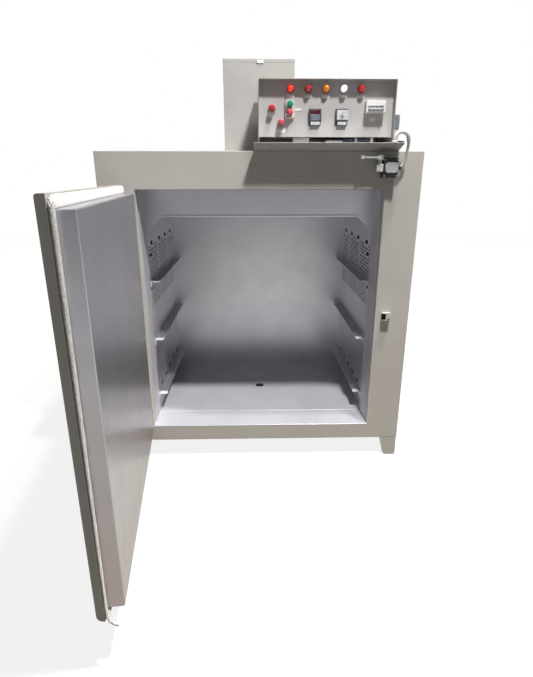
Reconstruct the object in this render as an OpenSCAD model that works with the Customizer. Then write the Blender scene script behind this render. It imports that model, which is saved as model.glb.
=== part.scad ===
// Electrode drying oven: an insulated cabinet on four plate feet, with a hinged
// front door, a ducted chamber with shelf runners, and a control box on the roof.
// X runs along the front from left to right, Y from the front to the back, Z up.
// The origin is on the floor, under the middle of the whole outline with the
// door standing open.

/* [Cabinet] */
// Width of the cabinet
body_w = 1296; // [1100:1560]
// Depth of the cabinet
body_d = 1000; // [830:1200]
// Height of the roof above the floor
body_h = 1365; // [1140:1640]
// Height of the feet under the cabinet
foot_h = 93; // [60:150]
// Thickness of the insulated side walls
side_t = 100; // [60:110]
// Thickness of the insulated roof
roof_t = 100; // [60:110]
// Thickness of the insulated back wall
back_t = 138; // [100:170]
// Width of the front stiles beside the mouth
stile_w = 147.5; // [120:0.5:180]
// Height of the rail above the mouth
header_h = 144; // [115:175]
// Depth of the front frame round the mouth
frame_d = 160; // [100:200]

/* [Chamber] */
// Height of the sill above the floor
sill_z = 167; // [140:200]
// Thickness of the chamber's sheet
sheet_t = 2; // [1.5:0.5:4]
// Drop of the fascia below the head of the mouth
fascia_drop = 118; // [60:150]
// Width of the fascia's corner gussets
gusset_w = 72; // [40:100]
// Height of the fascia's corner gussets
gusset_h = 61; // [40:100]
// Distance of the lining's front edge behind the front face
lining_set = 40; // [20:80]
// Diameter of the drain hole in the floor
drain_d = 46; // [10:60]
// Distance of the drain hole behind the front face
drain_y = 470; // [300:600]

/* [Side panels] */
// Height of the large air holes
air_hole_h = 18; // [8:25]
// Length of the large air holes
air_hole_l = 50; // [30:80]
// Length of the short air holes at the panel's ends
air_end_l = 30; // [20:40]
// Height of the upper row of air holes above the sill
air_row_up = 815; // [700:850]
// Length of the air slots at the foot of the panel
air_slot_l = 56; // [30:80]
// Height of the air slots
air_slot_h = 14; // [8:20]
// Height of the air slots above the sill
air_slot_up = 109; // [80:140]

/* [Runners] */
// Height of the top runner above the sill
runner_top = 648; // [500:750]
// Distance from one runner down to the next
runner_pitch = 280; // [200:320]
// Width of a runner's shelf flange
runner_w = 38; // [20:60]
// Height of a runner's wall flange
runner_leg = 25; // [15:50]
// Thickness of a runner
runner_t = 3; // [2:5]
// Distance of a runner's front end behind the fascia
runner_set = 12; // [5:40]

/* [Feet] */
// Width of a foot at its top
foot_w = 82; // [60:100]
// Width of a foot at the floor
foot_tip_w = 58; // [40:80]
// Thickness of a foot's plate
foot_t = 6; // [3:10]

/* [Door] */
// Angle that the door stands open
door_open = 83.7; // [10:0.1:115]
// Gap between the plug and the mouth
plug_gap = 12.5; // [8:0.5:20]
// Overlap of the pan past the plug on the hinge side
hinge_lap = 36; // [25:50]
// Overlap of the pan past the plug on the free side
free_lap = 22; // [15:50]
// Overlap of the pan above the plug
top_lap = 31; // [15:40]
// Overlap of the pan below the plug
foot_lap = 22; // [15:40]
// Thickness of the door's outer pan
pan_t = 22; // [15:60]
// Thickness of the rope gasket
gasket_t = 16; // [10:20]
// Depth of the plug, measured from the pan
plug_t = 50; // [40:100]
// Gap between the gasket and the front face with the door shut
seal_gap = 1; // [0.5:0.5:3]

/* [Hinges] */
// Diameter of a hinge knuckle
knuckle_d = 22; // [16:27]
// Diameter of the hinge pin
pin_d = 12; // [8:15]
// Height of each knuckle
knuckle_h = 60; // [40:90]
// Distance from the pan's edge to the hinge axis
hinge_reach = 21; // [16:40]
// Height of the lower hinge above the sill
hinge_low = 150; // [80:300]
// Height of the upper hinge above the sill
hinge_high = 850; // [600:900]

/* [Control box] */
// Distance of the box's right side from the cabinet's right side
box_right = 136; // [100:300]
// Width of the control box
box_w = 518; // [430:620]
// Height of the control box above the roof
box_h = 247; // [235:300]
// Distance from the front face to the back of the control box
box_back = 220; // [120:245]
// Overhang of the hood in front of the front face
hood_out = 30; // [20:50]
// Overhang of the tray in front of the front face
tray_out = 72; // [55:100]
// Rise of the tray's front edge above the roof
tray_rise = 24; // [10:40]
// How far the tray reaches past the box on the left
tray_left = 19; // [5:40]
// How far the tray reaches past the box on the right
tray_right = 34; // [10:60]
// Lean of the front panel
panel_lean = 4; // [0:0.1:10]
// Height of the slot under the front panel
slot_h = 25; // [10:30]

/* [Panel fittings] */
// Diameter of the pilot lamps
lamp_d = 28; // [20:34]
// Distance from one pilot lamp to the next
lamp_pitch = 67; // [50:80]
// Diameter of the push button caps
button_d = 22; // [16:26]
// Wall of the push button collars
collar_wall = 2.5; // [1.5:0.5:4]
// Travel of the push buttons
button_travel = 4; // [2:6]
// Width of the controllers
controller_w = 48; // [40:60]
// Height of the controllers
controller_h = 58; // [48:75]
// Width of the circuit breaker
breaker_w = 72; // [54:88]
// Height of the circuit breaker's front
breaker_h = 40; // [36:55]

/* [Roof housing] */
// Width of the blower housing
housing_w = 300; // [200:400]
// Depth of the blower housing
housing_d = 300; // [200:400]
// Height of the blower housing above the roof
housing_h = 366; // [250:500]
// Distance from the front face to the blower housing
housing_y = 250; // [250:400]

/* [Limit switch] */
// Height of the middle of the switch above the head of the mouth
switch_up = 81; // [60:100]
// Distance of the switch's right side from the cabinet's right side
switch_right = 111; // [90:150]
// Width of the switch body
switch_w = 59; // [45:71]
// Height of the switch body
switch_h = 72; // [60:86]
// Depth of the switch body
switch_d = 42; // [35:50]
// Length of the lever arm
lever_l = 66; // [50:80]
// Diameter of the lead
lead_d = 11; // [8:14]

/* [Hidden] */

$fn = 48;
// Running and placing clearance of loose pieces
fit = 0.3;
// How far a cutting tool reaches past what it cuts
cut = 1;
paint = "#b5b1a8";
steel = "#9a999c";

half_w = body_w / 2;
half_m = half_w - stile_w;
head_z = body_h - header_h;
chamber_x = half_w - side_t;
chamber_d = body_d - back_t - sheet_t;
fascia_z = head_z - fascia_drop;
roof_in = body_h - roof_t;
base_top = sill_z - sheet_t;

plug_x = half_m - plug_gap;
plug_z0 = sill_z + plug_gap;
plug_z1 = head_z - plug_gap;
pan_x0 = -plug_x - hinge_lap;
pan_x1 = plug_x + free_lap;
pan_z0 = plug_z0 - foot_lap;
pan_z1 = plug_z1 + top_lap;
hinge_x = pan_x0 - hinge_reach;
hinge_y = -gasket_t - seal_gap;
door_reach = -hinge_y + (pan_x1 - hinge_x) * sin(door_open) + pan_t * cos(door_open);
// The front face stands this far in front of the origin
front_y = (door_reach - body_d) / 2;

box_x1 = half_w - box_right;
box_x0 = box_x1 - box_w;
box_z1 = body_h + box_h;
box_t = 2;
tray_t = 3;
tray_top = body_h + tray_t;
tray_slope = tray_rise / tray_out;
// The panel's foot lies this far behind the tray's front edge
panel_set = 64;
panel_x0 = box_t + fit;
panel_x1 = box_w - box_t - fit;
panel_y = panel_set - tray_out;
panel_z = body_h + tray_rise + slot_h;
panel_top = (box_z1 - box_t - panel_z) / cos(panel_lean);
panel_t = 2;

// Moves the cabinet's own frame, whose Y starts at the front face, to the origin
module from_front() translate([0, front_y, 0]) children();

// A box from one corner to the opposite one
module block(low, high) translate(low) cube(high - low);

// Swings a shut door's piece about the hinge axis to the angle it stands at
module on_door()
  translate([hinge_x, hinge_y, 0])
    rotate([0, 0, -door_open])
      translate([-hinge_x, -hinge_y, 0]) children();

// Puts a piece on the leaning front panel, across from its left side and up along it
module on_panel(across, up)
  translate([box_x0, panel_y, panel_z])
    rotate([-panel_lean, 0, 0])
      translate([across, 0, up]) children();

// A cylinder that stands out of the front panel from one depth to another
module boss(d, from, to) translate([0, -from, 0]) rotate([90, 0, 0]) cylinder(h = to - from, d = d);

module left_wall() color(paint) from_front()
  block([-half_w, frame_d, foot_h], [-chamber_x, body_d, body_h]);

module right_wall() color(paint) from_front()
  block([chamber_x, frame_d, foot_h], [half_w, body_d, body_h]);

module back_wall() color(paint) from_front()
  block([-chamber_x, chamber_d + sheet_t, foot_h], [chamber_x, body_d, body_h]);

module roof() color(paint) from_front()
  block([-chamber_x, frame_d, roof_in], [chamber_x, chamber_d + sheet_t, body_h]);

module base_slab() color(paint) from_front()
  block([-chamber_x, frame_d, foot_h], [chamber_x, chamber_d + sheet_t, base_top]);

module header() color(paint) from_front()
  block([-half_m, 0, head_z], [half_m, frame_d, body_h]);

module bottom_rail() color(paint) from_front()
  block([-half_m, 0, foot_h], [half_m, frame_d, base_top]);

module left_stile() color(paint) from_front()
  block([-half_w, 0, foot_h], [-half_m, frame_d, body_h]);

module right_stile() color(paint) from_front()
  block([half_m, 0, foot_h], [half_w, frame_d, body_h]);

// One leaf of a foot in the XZ plane, tapered towards the floor
module foot_leaf() {
  translate([0, foot_t, 0])
    rotate([90, 0, 0])
      linear_extrude(foot_t)
        polygon([[0, 0], [foot_tip_w, 0], [foot_w, foot_h], [0, foot_h]]);
}

// A foot bent from plate, with its outer corner at x = 0, y = 0
module foot() {
  foot_leaf();
  mirror([1, -1, 0]) foot_leaf();
}

module feet_pair() {
  translate([-half_w, 0, 0]) foot();
  mirror([1, 0, 0]) translate([-half_w, 0, 0]) foot();
}

module front_feet() color(paint) from_front() feet_pair();

module rear_feet() color(paint) from_front()
  translate([0, body_d, 0]) mirror([0, 1, 0]) feet_pair();

module lining_left() color(steel) from_front()
  block([-half_m, lining_set, sill_z], [-half_m + sheet_t, frame_d, head_z - sheet_t]);

module lining_right() color(steel) from_front()
  block([half_m - sheet_t, lining_set, sill_z], [half_m, frame_d, head_z - sheet_t]);

module lining_top() color(steel) from_front()
  block([-half_m, lining_set, head_z - sheet_t], [half_m, frame_d, head_z]);

module sill_plate() color(steel) from_front()
  block([-half_m, 0, base_top], [half_m, frame_d, sill_z]);

// The plate across the top of the chamber, with a gusset at each lower corner
module fascia() color(steel) from_front()
  translate([0, frame_d + sheet_t, 0])
    rotate([90, 0, 0])
      linear_extrude(sheet_t)
        polygon([
          [-half_m, roof_in], [-half_m, fascia_z - gusset_h], [-half_m + gusset_w, fascia_z],
          [half_m - gusset_w, fascia_z], [half_m, fascia_z - gusset_h], [half_m, roof_in]
        ]);

module ceiling_panel() color(steel) from_front()
  block([-half_m, frame_d + sheet_t, fascia_z], [half_m, chamber_d, fascia_z + sheet_t]);

module floor_panel() color(steel) from_front() difference() {
  block([-half_m, frame_d, base_top], [half_m, chamber_d, sill_z]);
  translate([0, drain_y, base_top - cut]) cylinder(h = sheet_t + 2 * cut, d = drain_d);
}

module back_panel() color(steel) from_front()
  block([-chamber_x, chamber_d, base_top], [chamber_x, chamber_d + sheet_t, roof_in]);

// Air holes and slots: distance behind the front frame, height above the sill, and length.
// The rows start at the front edge of the panel and end at its back edge.
panel_run = chamber_d - frame_d;
hole_drop = 51;
low_drop = 198;
air_rows = [
  for (y = [95, 290, panel_run - 242, panel_run - 80]) [y, air_row_up, air_hole_l],
  [60, air_row_up - hole_drop, air_hole_l],
  [panel_run - 22, air_row_up - hole_drop, air_end_l],
  for (y = [26, panel_run - 22]) [y, air_row_up - low_drop, air_end_l]
];
slots = 5;
slot_first = 112;
slot_last = 100;
slot_row = [
  for (k = [0:slots - 1])
    [slot_first + k * (panel_run - slot_first - slot_last) / (slots - 1), air_slot_up]
];
tool_l = 6 * sheet_t;

// An opening with round ends through a side panel, at its middle plane
module air_slot(y, z, length, height) {
  run = (length - height) / 2;
  for (s = [-run, run])
    translate([0, y + s, z]) rotate([0, 90, 0]) cylinder(h = tool_l, d = height, center = true);
  translate([0, y, z]) cube([tool_l, 2 * run, height], center = true);
}

// The right duct panel, which stands just outside the line of the mouth
module side_panel() difference() {
  block([half_m, frame_d + sheet_t, base_top], [half_m + sheet_t, chamber_d, roof_in]);
  translate([half_m + sheet_t / 2, frame_d, sill_z]) {
    for (p = air_rows) air_slot(p[0], p[1], p[2], air_hole_h);
    for (p = slot_row) air_slot(p[0], p[1], air_slot_l, air_slot_h);
  }
}

module side_panel_right() color(steel) from_front() side_panel();

module side_panel_left() color(steel) from_front() mirror([1, 0, 0]) side_panel();

// The three runners of the right side, angles with their shelf flange on top
module runners() {
  for (k = [0:2]) {
    z = sill_z + runner_top - k * runner_pitch;
    translate([half_m, chamber_d - fit, z])
      rotate([90, 0, 0])
        linear_extrude(chamber_d - frame_d - sheet_t - runner_set)
          polygon([
            [0, 0], [-runner_w, 0], [-runner_w, -runner_t], [-runner_t, -runner_t],
            [-runner_t, -runner_leg], [0, -runner_leg]
          ]);
  }
}

module runners_right() color(steel) from_front() runners();

module runners_left() color(steel) from_front() mirror([1, 0, 0]) runners();

module door_pan() color(paint) from_front() on_door()
  block([pan_x0, hinge_y - pan_t, pan_z0], [pan_x1, hinge_y, pan_z1]);

module door_gasket() color("#efebe8") from_front() on_door() difference() {
  block([pan_x0, hinge_y, pan_z0], [pan_x1, hinge_y + gasket_t, pan_z1]);
  block([-plug_x, hinge_y - cut, plug_z0], [plug_x, hinge_y + gasket_t + cut, plug_z1]);
}

module door_plug() color(steel) from_front() on_door()
  block([-plug_x, hinge_y, plug_z0], [plug_x, hinge_y + plug_t, plug_z1]);

// Each hinge has its lower knuckle and pin on the frame, its upper one on the door
hinge_zs = [sill_z + hinge_low, sill_z + hinge_high];
plate_w = 50;
plate_t = 4;
strap_t = 8;
knuckle_gap = 1;
pin_l = knuckle_h - 5;

module hinge_frame_leaves() color(paint) from_front()
  for (z = hinge_zs) {
    translate([hinge_x, hinge_y, z - knuckle_h]) cylinder(h = knuckle_h, d = knuckle_d);
    translate([hinge_x, hinge_y, z]) cylinder(h = pin_l, d = pin_d);
    block([hinge_x - strap_t / 2, hinge_y, z - knuckle_h], [hinge_x + strap_t / 2, 0, z]);
    block([hinge_x - plate_w, -plate_t, z - knuckle_h], [hinge_x + strap_t / 2, 0, z]);
  }

module hinge_door_leaves() color(paint) from_front() on_door()
  for (z = hinge_zs) difference() {
    translate([0, 0, z + knuckle_gap]) {
      translate([hinge_x, hinge_y, 0]) cylinder(h = knuckle_h, d = knuckle_d);
      block([hinge_x, hinge_y - strap_t, 0], [pan_x0, hinge_y, knuckle_h]);
    }
    translate([hinge_x, hinge_y, z]) cylinder(h = pin_l + cut, d = pin_d + 2 * fit);
  }

// The keeper stands off the right stile and has a pocket for the latch bolt
keeper_set = 45.5;
keeper_x = half_m + keeper_set;
keeper_z = 695;
keeper_w = 36;
keeper_h = 34;
keeper_out = 20;
keeper_t = 4;
keeper_open = 15;

module latch_keeper() color(steel) from_front() difference() {
  x0 = keeper_x - keeper_w / 2;
  z0 = keeper_z - keeper_h / 2;
  block([x0, -keeper_out, z0], [x0 + keeper_w, 0, z0 + keeper_h]);
  block([x0 - cut, keeper_t - keeper_out, z0 + keeper_t],
        [x0 + keeper_w - keeper_t, -keeper_t, z0 + keeper_h - keeper_t]);
  block([x0 - cut, -keeper_out - cut, z0 + keeper_t],
        [x0 + keeper_open, -keeper_t, z0 + keeper_h - keeper_t]);
}

switch_x1 = half_w - switch_right;
switch_x0 = switch_x1 - switch_w;
switch_z = head_z + switch_up;
// The head carries the lever's shaft beside the body's upper part
head_w = 26;
head_low = 14;
head_high = 48;
head_back = 6;
shaft_d = 8;
shaft_out = 11;
shaft_set = 18;
hub_d = 16;
hub_t = 6;
arm_t = 4;
arm_h = 6;
roller_d = 14;
roller_t = 12;
lever_x = switch_x0 - shaft_set;
lever_z = switch_z + switch_h / 2 + 2;
lever_y = -switch_d - arm_t;

module switch_body() color("#26262a") from_front()
  block([switch_x0, -switch_d, switch_z - switch_h / 2], [switch_x1, 0, switch_z + switch_h / 2]);

module switch_head() color("#c9c9cc") from_front() {
  block([switch_x0 - head_w, -switch_d, lever_z - head_low - switch_h / 2 - 2],
        [switch_x0, -head_back, lever_z + head_high - switch_h / 2 - 2]);
  translate([lever_x, -switch_d, lever_z]) rotate([90, 0, 0]) cylinder(h = shaft_out, d = shaft_d);
}

// The lever turns on the head's shaft and ends in a small roller
module switch_lever() color("#c9c9cc") from_front() difference() {
  union() {
    translate([lever_x, lever_y, lever_z]) rotate([90, 0, 0]) cylinder(h = hub_t, d = hub_d);
    block([lever_x - lever_l, lever_y - arm_t - cut, lever_z - arm_h / 2],
          [lever_x, lever_y - cut, lever_z + arm_h / 2]);
    translate([lever_x - lever_l, lever_y + arm_t, lever_z])
      rotate([90, 0, 0]) cylinder(h = roller_t, d = roller_d);
  }
  translate([lever_x, lever_y + cut, lever_z])
    rotate([90, 0, 0]) cylinder(h = hub_t + 2 * cut, d = shaft_d + 2 * fit);
}

// Route of the lead, from the tray over to the limit switch
lead_route = [
  [509, -63, 1388], [509, -63, 1402], [512, -63, 1414], [519, -62, 1424], [530, -61, 1429],
  [543, -59, 1429], [555, -56, 1423], [563, -52, 1411], [567, -47, 1396], [568, -41, 1380],
  [568, -35, 1362], [567, -30, 1344], [563, -26, 1326], [556, -23, 1311], [547, -22, 1303],
  [537, -22, 1302]
];
lead_sides = 10;

function unit(v) = v / norm(v);
function lead_dir(i) =
  unit(lead_route[min(i + 1, len(lead_route) - 1)] - lead_route[max(i - 1, 0)]);
function lead_ring(i) =
  let (d = lead_dir(i), a = unit(cross(d, [0, 1, 0.2])), b = cross(d, a))
  [for (k = [0:lead_sides - 1])
    lead_route[i] + lead_d / 2 * (cos(360 * k / lead_sides) * a + sin(360 * k / lead_sides) * b)];

module switch_lead() color("#f2f2f0") from_front() {
  rings = len(lead_route);
  n = lead_sides;
  points = [for (i = [0:rings - 1]) each lead_ring(i)];
  sides = [
    for (i = [0:rings - 2], k = [0:n - 1])
      [i * n + k, (i + 1) * n + k, (i + 1) * n + (k + 1) % n, i * n + (k + 1) % n]
  ];
  first = [for (k = [0:n - 1]) k];
  last = [for (k = [n - 1:-1:0]) (rings - 1) * n + k];
  polyhedron(points = points, faces = concat([first], sides, [last]));
}

// A gland on the box's right cheek, with a sleeve down to the tray
gland_d = 28;
gland_l = 47;
gland_set = 16;
gland_x = box_x1 + gland_set;
gland_y = 12;
gland_z = body_h + 83;
clamp_w = 16;
clamp_low = 14;
clamp_h = 19;
sleeve_d = 22;

module lead_gland() color("#5b5d62") from_front() {
  translate([gland_x, gland_y, gland_z]) cylinder(h = gland_l, d = gland_d);
  block([box_x1, gland_y - clamp_w / 2, gland_z + clamp_low],
        [gland_x, gland_y + clamp_w / 2, gland_z + clamp_low + clamp_h]);
}

module gland_sleeve() color("#e8e8e8") from_front()
  translate([gland_x, gland_y, tray_top]) cylinder(h = gland_z - tray_top, d = sleeve_d);

// Outline of the tray in the YZ plane: flat on the roof, then rising to its lip
module control_tray() color(paint) from_front()
  translate([box_x0 - tray_left, 0, 0])
    rotate([90, 0, 90])
      linear_extrude(box_w + tray_left + tray_right)
        polygon([
          [box_back, body_h], [0, body_h], [-tray_out, body_h + tray_rise],
          [-tray_out, tray_top + tray_rise], [0, tray_top], [box_back, tray_top]
        ]);

// Side view of the control box, standing on the tray
module box_profile()
  polygon([
    [box_back, tray_top], [0, tray_top], [-hood_out, tray_top + hood_out * tray_slope],
    [-hood_out, box_z1], [box_back, box_z1]
  ]);

module box_side(x) translate([x, 0, 0]) rotate([90, 0, 90]) linear_extrude(box_t) box_profile();

module control_housing() color(paint) from_front() {
  box_side(box_x0);
  box_side(box_x1 - box_t);
  block([box_x0, -hood_out, box_z1 - box_t], [box_x1, box_back, box_z1]);
  block([box_x0, box_back - box_t, tray_top], [box_x1, box_back, box_z1]);
}

// Places on the panel: distance from the box's left side, height along the panel
breaker_at = [443, 104];
controller_at = [[216, 70], [318, 70]];
buttons_at = [[51, 100], [119, 113], [119, 85], [87, 50]];
lamps = 5;
lamp_first = 121;
lamp_drop = 29;
lamp_up = panel_top - lamp_drop;
lamp_base = 10;
lamp_out = 20;
lens_d = lamp_d - 6;
collar_d = button_d + cut + 2 * collar_wall;
collar_out = 12;
cap_out = 28;
cutout_lap = 1.5;
controller_out = 12;
controller_in = 50;

module control_panel() color("#c8c4c2") from_front() difference() {
  on_panel(0, 0) block([panel_x0, 0, 0], [panel_x1, panel_t, panel_top - fit]);
  on_panel(breaker_at[0], breaker_at[1])
    cube([breaker_w + 2 * fit, 4 * panel_t, breaker_h + 2 * fit], center = true);
  for (p = controller_at)
    on_panel(p[0], p[1])
      cube([controller_w - 2 * cutout_lap, 4 * panel_t, controller_h - 2 * cutout_lap], center = true);
}

module pilot_lamps() color("#c02018") from_front()
  for (k = [0:lamps - 1]) on_panel(lamp_first + k * lamp_pitch, lamp_up) {
    boss(lamp_d, 0, lamp_base);
    boss(lens_d, lamp_base, lamp_out);
  }

module button_collars() color("#b8b8ba") from_front()
  for (p = buttons_at) on_panel(p[0], p[1]) difference() {
    boss(collar_d, 0, collar_out);
    boss(button_d + cut, -cut, collar_out + cut);
  }

// A push button's cap with its stem, in the collar
module button(k) on_panel(buttons_at[k][0], buttons_at[k][1])
  boss(button_d, button_travel + cut, cap_out);

module button_left() color("#c01828") from_front() button(0);

module button_start() color("#1f8f72") from_front() button(1);

module button_stop() color("#c8405a") from_front() button(2);

module button_low() color("#d04060") from_front() button(3);

module controllers() color("#3a3c48") from_front()
  for (p = controller_at) on_panel(p[0], p[1]) {
    w = controller_w / 2;
    h = controller_h / 2;
    in = cutout_lap + fit;
    block([-w, -controller_out, -h], [w, 0, h]);
    block([in - w, 0, in - h], [w - in, controller_in, h - in]);
  }

// The four toggles are tied by one bar and turn on a pin across the breaker
breaker_out = 28;
breaker_in = 40;
pocket_side = 6;
pocket_h = 20;
pocket_floor = 12;
toggles = 4;
toggle_pitch = breaker_w / 4.6;
toggle_w = 8;
toggle_h = 5;
toggle_l = 16;
toggle_pin_d = 8;
toggle_y = -22;
toggle_up = -8;

module breaker_body() color("#f0f0f0") from_front() on_panel(breaker_at[0], breaker_at[1]) difference() {
  block([-breaker_w / 2, -breaker_out, -breaker_h / 2], [breaker_w / 2, breaker_in, breaker_h / 2]);
  block([pocket_side - breaker_w / 2, -breaker_out - cut, toggle_up - pocket_h / 2],
        [breaker_w / 2 - pocket_side, -pocket_floor, toggle_up + pocket_h / 2]);
}

module breaker_toggles() color("#d8d8dc") from_front() on_panel(breaker_at[0], breaker_at[1])
  translate([0, toggle_y, toggle_up]) {
    rotate([0, 90, 0])
      cylinder(h = breaker_w - 2 * pocket_side - 2 * fit, d = toggle_pin_d, center = true);
    for (k = [0:toggles - 1])
      translate([(k - (toggles - 1) / 2) * toggle_pitch, -toggle_l / 2, 0])
        cube([toggle_w, toggle_l, toggle_h], center = true);
  }

// Blocks of terminals and contactors on a rail, seen through the slot under the
// panel: distance from the box's left side, width and height
gear = [
  [136, 64, 40], [204, 34, 26], [264, 66, 30], [332, 44, 38], [378, 12, 34], [392, 46, 38],
  [440, 13, 40]
];
rail_set = 20;
rail_d = 40;
rail_t = 6;
gear_set = 4;

module terminal_gear() color("#55555a") from_front() {
  block([box_x0 + rail_set, rail_set, tray_top],
        [box_x1 - rail_set, rail_set + rail_d, tray_top + rail_t]);
  for (g = gear)
    block([box_x0 + g[0], rail_set + gear_set, tray_top + rail_t],
          [box_x0 + g[0] + g[1], rail_set + rail_d - gear_set, tray_top + rail_t + g[2]]);
}

module blower_housing() color("#c6c3bd") from_front()
  block([-housing_w / 2, housing_y, body_h], [housing_w / 2, housing_y + housing_d, body_h + housing_h]);

// A small tab on the housing's front, near its top edge
tab_x = 4.5;
tab_w = 29;
tab_h = 11;
tab_t = 3;
tab_drop = 6;

module housing_tab() color("#f4f4f4") from_front()
  block([tab_x - tab_w / 2, housing_y - tab_t, body_h + housing_h - tab_drop - tab_h],
        [tab_x + tab_w / 2, housing_y, body_h + housing_h - tab_drop]);

left_wall();
right_wall();
back_wall();
roof();
base_slab();
header();
bottom_rail();
left_stile();
right_stile();
front_feet();
rear_feet();
lining_left();
lining_right();
lining_top();
sill_plate();
fascia();
ceiling_panel();
floor_panel();
back_panel();
side_panel_left();
side_panel_right();
runners_left();
runners_right();
door_pan();
door_gasket();
door_plug();
hinge_frame_leaves();
hinge_door_leaves();
latch_keeper();
switch_body();
switch_head();
switch_lever();
switch_lead();
lead_gland();
gland_sleeve();
control_tray();
control_housing();
control_panel();
pilot_lamps();
button_collars();
button_left();
button_start();
button_stop();
button_low();
controllers();
breaker_body();
breaker_toggles();
terminal_gear();
blower_housing();
housing_tab();
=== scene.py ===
import math
from bisect import bisect_right

import bmesh
import bpy
from mathutils import Matrix, Vector


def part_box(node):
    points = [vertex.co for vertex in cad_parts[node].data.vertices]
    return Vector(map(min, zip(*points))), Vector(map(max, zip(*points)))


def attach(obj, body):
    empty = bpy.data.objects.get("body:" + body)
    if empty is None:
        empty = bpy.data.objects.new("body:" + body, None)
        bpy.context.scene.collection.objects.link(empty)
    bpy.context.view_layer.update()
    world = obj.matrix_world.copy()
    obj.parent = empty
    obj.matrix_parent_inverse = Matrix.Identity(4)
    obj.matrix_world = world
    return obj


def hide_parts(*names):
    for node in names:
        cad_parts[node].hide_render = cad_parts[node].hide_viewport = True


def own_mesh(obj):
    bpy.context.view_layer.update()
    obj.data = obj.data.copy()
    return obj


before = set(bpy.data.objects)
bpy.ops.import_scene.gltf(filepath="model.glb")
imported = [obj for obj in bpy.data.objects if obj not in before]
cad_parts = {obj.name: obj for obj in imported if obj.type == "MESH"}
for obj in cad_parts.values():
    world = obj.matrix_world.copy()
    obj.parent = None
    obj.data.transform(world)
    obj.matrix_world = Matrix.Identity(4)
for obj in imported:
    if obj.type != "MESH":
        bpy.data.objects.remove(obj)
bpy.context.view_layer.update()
scene = bpy.context.scene
scene.view_settings.view_transform = "Standard"

# --------
# Studio. The camera stands in front of the oven at roof height and looks down
# into the chamber. A high lamp in front and one nearly overhead stand for a
# workshop ceiling; the floor and the background are plain white.

# Drawings below are in mm, with Y = 0 at the cabinet's front face
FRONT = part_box("header")[0].y
CABINET = Matrix.Translation((0, FRONT, 0)) @ Matrix.Scale(0.001, 4)


def linear(code):
    """An sRGB hex colour as linear red, green, blue and alpha."""
    channels = [int(code[i:i + 2], 16) / 255 for i in (1, 3, 5)]
    bright = [c / 12.92 if c <= 0.04045 else ((c + 0.055) / 1.055) ** 2.4 for c in channels]
    return (*bright, 1)


def add_node(tree, kind, inputs=None, **settings):
    """Adds a node with its settings, and sets or links its inputs."""
    node = tree.nodes.new(kind)
    for name, value in settings.items():
        setattr(node, name, value)
    for name, value in (inputs or {}).items():
        if isinstance(value, bpy.types.NodeSocket):
            tree.links.new(value, node.inputs[name])
        else:
            node.inputs[name].default_value = value
    return node


camera = bpy.data.objects.new("camera", bpy.data.cameras.new("camera"))
scene.collection.objects.link(camera)
scene.camera = camera
camera.data.lens = 26.095
camera.data.shift_x = 0.00145
camera.data.shift_y = 0.0158
camera.location = CABINET @ Vector((-29.78, -2063.51, 1269.28))
camera.rotation_euler = (math.radians(70.643), 0, math.radians(-1.414))

# Each lamp: place in mm, light on the oven, radius in metres. Its light doesn't fall off
# with distance, as under a long row of lamps
LAMPS = {
    "front_lamp": ((590, -930, 3300), 4.0, 0.1),
    "overhead_lamp": ((1050, -700, 5300), 2.4, 0.15),
}
for name, (place, light, radius) in LAMPS.items():
    lamp = bpy.data.objects.new(name, bpy.data.lights.new(name, "POINT"))
    lamp.data.energy = 4 * math.pi * light
    lamp.data.shadow_soft_size = radius
    lamp.data.use_nodes = True
    tree = lamp.data.node_tree
    tree.nodes.clear()
    even = add_node(tree, "ShaderNodeLightFalloff", {"Strength": 1.0})
    glow = add_node(tree, "ShaderNodeEmission",
                    {"Color": linear("#fffdf8"), "Strength": even.outputs["Constant"]})
    add_node(tree, "ShaderNodeOutputLight", {"Surface": glow.outputs[0]})
    lamp.location = CABINET @ Vector(place)
    scene.collection.objects.link(lamp)

# Strengths of the world's light: on matt surfaces, and as gloss reflects it
FILL, GLOSS = 0.12, 0.38
world = bpy.data.worlds.new("studio")
scene.world = world
world.use_nodes = True
tree = world.node_tree
tree.nodes.clear()
rays = add_node(tree, "ShaderNodeLightPath")
seen = add_node(tree, "ShaderNodeMath", {0: rays.outputs["Is Camera Ray"],
                                         1: rays.outputs["Is Transmission Ray"]}, operation="MAXIMUM")
fill = add_node(tree, "ShaderNodeBackground", {"Color": linear("#f4f6fa"), "Strength": FILL})
white = add_node(tree, "ShaderNodeBackground", {"Color": (1, 1, 1, 1), "Strength": 1.0})
gloss = add_node(tree, "ShaderNodeBackground", {"Color": linear("#f2f3f8"), "Strength": GLOSS})
lit = add_node(tree, "ShaderNodeMixShader",
               {0: rays.outputs["Is Glossy Ray"], 1: fill.outputs[0], 2: gloss.outputs[0]})
sky = add_node(tree, "ShaderNodeMixShader", {0: seen.outputs[0], 1: lit.outputs[0], 2: white.outputs[0]})
add_node(tree, "ShaderNodeOutputWorld", {"Surface": sky.outputs[0]})

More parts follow.
